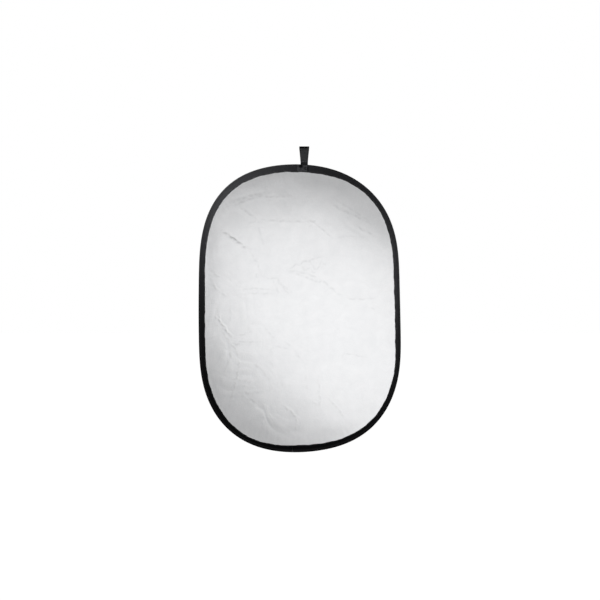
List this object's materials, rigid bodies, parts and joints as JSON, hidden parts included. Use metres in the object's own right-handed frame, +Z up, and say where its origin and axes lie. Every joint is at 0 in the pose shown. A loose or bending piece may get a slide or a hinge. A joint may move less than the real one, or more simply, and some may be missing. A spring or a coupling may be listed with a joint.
{
  "type": "collapsible reflector panel",
  "caption": "Oval two-sided light reflector: silver and white cloths bound to a coiling spring-steel hoop, with a webbing hang loop at the top.",
  "frame": {"origin": "middle of the bounding box at the rim's lowest edge, in the panel's middle plane; the rim's lowest point is at z = 0", "axes": "+Z up the panel towards the hang loop; -Y out of the silver face; +X to the right as seen from the silver side"},
  "size_m": [0.6176, 0.013, 0.935],
  "materials": {
    "silver_fabric": "metallised woven cloth, satin silver sheen, fine creases",
    "white_fabric": "matt white woven cloth",
    "binding_tape": "folded woven edge tape, near black, soft sheen",
    "loop_webbing": "ribbed charcoal grey webbing",
    "sewing_thread": "twisted polyester thread",
    "spring_steel": "blued spring steel band, satin",
    "sleeve_metal": "plated steel sleeve, crimped"
  },
  "bodies": {
    "rim_top": {"edge_binding": "binding_tape", "silver_cloth": "silver_fabric", "white_cloth": "white_fabric", "binding_seam_front": "sewing_thread", "binding_seam_back": "sewing_thread", "steel_band_splice_end_left": "spring_steel", "steel_band_splice_end_right": "spring_steel", "splice_sleeve": "sleeve_metal", "hang_loop_tail_front": "loop_webbing", "hang_loop_tail_back": "loop_webbing", "tail_box_stitch_front": "sewing_thread", "tail_box_stitch_back": "sewing_thread"},
    "hang_loop": {"hang_loop": "loop_webbing", "loop_bar_tack": "sewing_thread"},
    "hoop_left_01": {"steel_band_left_01": "spring_steel"},
    "hoop_left_02": {"steel_band_left_02": "spring_steel"},
    "hoop_left_03": {"steel_band_left_03": "spring_steel"},
    "hoop_left_04": {"steel_band_left_04": "spring_steel"},
    "hoop_left_05": {"steel_band_left_05": "spring_steel"},
    "hoop_left_06": {"steel_band_left_06": "spring_steel"},
    "hoop_left_07": {"steel_band_left_07": "spring_steel"},
    "hoop_left_08": {"steel_band_left_08": "spring_steel"},
    "hoop_left_09": {"steel_band_left_09": "spring_steel"},
    "hoop_left_10": {"steel_band_left_10": "spring_steel"},
    "hoop_left_11": {"steel_band_left_11": "spring_steel"},
    "hoop_left_12": {"steel_band_left_12": "spring_steel"},
    "hoop_right_01": {"steel_band_right_01": "spring_steel"},
    "hoop_right_02": {"steel_band_right_02": "spring_steel"},
    "hoop_right_03": {"steel_band_right_03": "spring_steel"},
    "hoop_right_04": {"steel_band_right_04": "spring_steel"},
    "hoop_right_05": {"steel_band_right_05": "spring_steel"},
    "hoop_right_06": {"steel_band_right_06": "spring_steel"},
    "hoop_right_07": {"steel_band_right_07": "spring_steel"},
    "hoop_right_08": {"steel_band_right_08": "spring_steel"},
    "hoop_right_09": {"steel_band_right_09": "spring_steel"},
    "hoop_right_10": {"steel_band_right_10": "spring_steel"},
    "hoop_right_11": {"steel_band_right_11": "spring_steel"},
    "hoop_right_12": {"steel_band_right_12": "spring_steel"}
  },
  "joints": [
    {"name": "fold", "type": "hinge", "parent": "rim_top", "child": "hoop_left_01", "pos_m": [-0.03617, -0.00007, 0.87556], "axis": [-0.0167, -0.9999, -0.0019], "range_deg": [0, 31.67], "stiffness_Nm_per_rad": 5, "deforming": ["edge_binding", "silver_cloth", "white_cloth", "binding_seam_front", "binding_seam_back"]},
    {"name": "fold_left_02", "type": "hinge", "parent": "hoop_left_01", "child": "hoop_left_02", "pos_m": [-0.13372, -0.00022, 0.8586], "axis": [-0.0192, -0.9998, -0.0082], "range_deg": [0, 25.25], "stiffness_Nm_per_rad": 5},
    {"name": "fold_left_03", "type": "hinge", "parent": "hoop_left_02", "child": "hoop_left_03", "pos_m": [-0.21941, -0.00036, 0.80989], "axis": [-0.0188, -0.9996, -0.0194], "range_deg": [0, 19.53], "stiffness_Nm_per_rad": 5},
    {"name": "fold_left_04", "type": "hinge", "parent": "hoop_left_03", "child": "hoop_left_04", "pos_m": [-0.2758, -0.0005, 0.72909], "axis": [-0.0078, -0.9998, -0.0204], "range_deg": [0, 24.17], "stiffness_Nm_per_rad": 5},
    {"name": "fold_left_05", "type": "hinge", "parent": "hoop_left_04", "child": "hoop_left_05", "pos_m": [-0.29986, -0.00065, 0.63309], "axis": [-0.0014, -0.9999, -0.0156], "range_deg": [0, 33.92], "stiffness_Nm_per_rad": 5},
    {"name": "fold_left_06", "type": "hinge", "parent": "hoop_left_05", "child": "hoop_left_06", "pos_m": [-0.30505, -0.00079, 0.53397], "axis": [0.0004, -0.9999, -0.0126], "range_deg": [0, 42.43], "stiffness_Nm_per_rad": 5},
    {"name": "fold_left_07", "type": "hinge", "parent": "hoop_left_06", "child": "hoop_left_07", "pos_m": [-0.30579, -0.00094, 0.43467], "axis": [0.0007, -0.9999, -0.0122], "range_deg": [0, 44.05], "stiffness_Nm_per_rad": 5},
    {"name": "fold_left_08", "type": "hinge", "parent": "hoop_left_07", "child": "hoop_left_08", "pos_m": [-0.30487, -0.00108, 0.33536], "axis": [0.0013, -0.9999, -0.0129], "range_deg": [0, 41.28], "stiffness_Nm_per_rad": 5},
    {"name": "fold_left_09", "type": "hinge", "parent": "hoop_left_08", "child": "hoop_left_09", "pos_m": [-0.29753, -0.00122, 0.23641], "axis": [0.0041, -0.9999, -0.0161], "range_deg": [0, 31.92], "stiffness_Nm_per_rad": 5},
    {"name": "fold_left_10", "type": "hinge", "parent": "hoop_left_09", "child": "hoop_left_10", "pos_m": [-0.26807, -0.00137, 0.14199], "axis": [0.0113, -0.9998, -0.0186], "range_deg": [0, 24.28], "stiffness_Nm_per_rad": 5},
    {"name": "fold_left_11", "type": "hinge", "parent": "hoop_left_10", "child": "hoop_left_11", "pos_m": [-0.20728, -0.00151, 0.06431], "axis": [0.0198, -0.9997, -0.0147], "range_deg": [0, 21.35], "stiffness_Nm_per_rad": 5},
    {"name": "fold_left_12", "type": "hinge", "parent": "hoop_left_11", "child": "hoop_left_12", "pos_m": [-0.12044, -0.00166, 0.01755], "axis": [0.0204, -0.9998, -0.0054], "range_deg": [0, 25.1], "stiffness_Nm_per_rad": 5},
    {"name": "fold_right_01", "type": "hinge", "parent": "rim_top", "child": "hoop_right_01", "pos_m": [0.06274, 0.00007, 0.86957], "axis": [0.0179, 0.9998, -0.0024], "range_deg": [0, 29.42], "stiffness_Nm_per_rad": 5},
    {"name": "fold_right_02", "type": "hinge", "parent": "hoop_right_01", "child": "hoop_right_02", "pos_m": [0.15621, 0.00022, 0.8373], "axis": [0.0192, 0.9998, -0.0092], "range_deg": [0, 24.86], "stiffness_Nm_per_rad": 5},
    {"name": "fold_right_03", "type": "hinge", "parent": "hoop_right_02", "child": "hoop_right_03", "pos_m": [0.23273, 0.00036, 0.77491], "axis": [0.0156, 0.9997, -0.0165], "range_deg": [0, 23.31], "stiffness_Nm_per_rad": 5},
    {"name": "fold_right_04", "type": "hinge", "parent": "hoop_right_03", "child": "hoop_right_04", "pos_m": [0.28077, 0.0005, 0.68865], "axis": [0.0079, 0.9998, -0.0183], "range_deg": [0, 26.49], "stiffness_Nm_per_rad": 5},
    {"name": "fold_right_05", "type": "hinge", "parent": "hoop_right_04", "child": "hoop_right_05", "pos_m": [0.29898, 0.00065, 0.5913], "axis": [0.0025, 0.9999, -0.0144], "range_deg": [0, 36.53], "stiffness_Nm_per_rad": 5},
    {"name": "fold_right_06", "type": "hinge", "parent": "hoop_right_05", "child": "hoop_right_06", "pos_m": [0.30267, 0.00079, 0.49207], "axis": [0.0011, 0.9999, -0.0121], "range_deg": [0, 44.17], "stiffness_Nm_per_rad": 5},
    {"name": "fold_right_07", "type": "hinge", "parent": "hoop_right_06", "child": "hoop_right_07", "pos_m": [0.30491, 0.00094, 0.39279], "axis": [0.0009, 0.9999, -0.0123], "range_deg": [0, 43.73], "stiffness_Nm_per_rad": 5},
    {"name": "fold_right_08", "type": "hinge", "parent": "hoop_right_07", "child": "hoop_right_08", "pos_m": [0.30495, 0.00108, 0.29351], "axis": [-0.0003, 0.9999, -0.0148], "range_deg": [0, 35.89], "stiffness_Nm_per_rad": 5},
    {"name": "fold_right_09", "type": "hinge", "parent": "hoop_right_08", "child": "hoop_right_09", "pos_m": [0.2893, 0.00122, 0.1957], "axis": [-0.0048, 0.9998, -0.0188], "range_deg": [0, 27.3], "stiffness_Nm_per_rad": 5},
    {"name": "fold_right_10", "type": "hinge", "parent": "hoop_right_09", "child": "hoop_right_10", "pos_m": [0.24479, 0.00137, 0.10754], "axis": [-0.0135, 0.9997, -0.0195], "range_deg": [0, 22.26], "stiffness_Nm_per_rad": 5},
    {"name": "fold_right_11", "type": "hinge", "parent": "hoop_right_10", "child": "hoop_right_11", "pos_m": [0.16978, 0.00151, 0.04355], "axis": [-0.0188, 0.9997, -0.0123], "range_deg": [0, 23.55], "stiffness_Nm_per_rad": 5},
    {"name": "fold_right_12", "type": "hinge", "parent": "hoop_right_11", "child": "hoop_right_12", "pos_m": [0.07627, 0.00166, 0.01133], "axis": [-0.0166, 0.9999, -0.0046], "range_deg": [0, 30.75], "stiffness_Nm_per_rad": 5},
    {"name": "hang_loop_swing", "type": "hinge", "parent": "rim_top", "child": "hang_loop", "pos_m": [0.01377, 0, 0.88067], "axis": [0.9983, 0, -0.058], "range_deg": [-80, 80], "stiffness_Nm_per_rad": 0.03}
  ],
  "couplings": [
    {"joint": "fold_left_02", "follows": "fold", "ratio": 0.79745},
    {"joint": "fold_left_03", "follows": "fold", "ratio": 0.61666},
    {"joint": "fold_left_04", "follows": "fold", "ratio": 0.76311},
    {"joint": "fold_left_05", "follows": "fold", "ratio": 1.0712},
    {"joint": "fold_left_06", "follows": "fold", "ratio": 1.3399},
    {"joint": "fold_left_07", "follows": "fold", "ratio": 1.3908},
    {"joint": "fold_left_08", "follows": "fold", "ratio": 1.3036},
    {"joint": "fold_left_09", "follows": "fold", "ratio": 1.008},
    {"joint": "fold_left_10", "follows": "fold", "ratio": 0.7668},
    {"joint": "fold_left_11", "follows": "fold", "ratio": 0.67416},
    {"joint": "fold_left_12", "follows": "fold", "ratio": 0.79263},
    {"joint": "fold_right_01", "follows": "fold", "ratio": 0.92914},
    {"joint": "fold_right_02", "follows": "fold", "ratio": 0.78492},
    {"joint": "fold_right_03", "follows": "fold", "ratio": 0.73609},
    {"joint": "fold_right_04", "follows": "fold", "ratio": 0.83638},
    {"joint": "fold_right_05", "follows": "fold", "ratio": 1.1536},
    {"joint": "fold_right_06", "follows": "fold", "ratio": 1.3947},
    {"joint": "fold_right_07", "follows": "fold", "ratio": 1.3807},
    {"joint": "fold_right_08", "follows": "fold", "ratio": 1.1334},
    {"joint": "fold_right_09", "follows": "fold", "ratio": 0.86218},
    {"joint": "fold_right_10", "follows": "fold", "ratio": 0.70283},
    {"joint": "fold_right_11", "follows": "fold", "ratio": 0.74375},
    {"joint": "fold_right_12", "follows": "fold", "ratio": 0.97102}
  ]
}
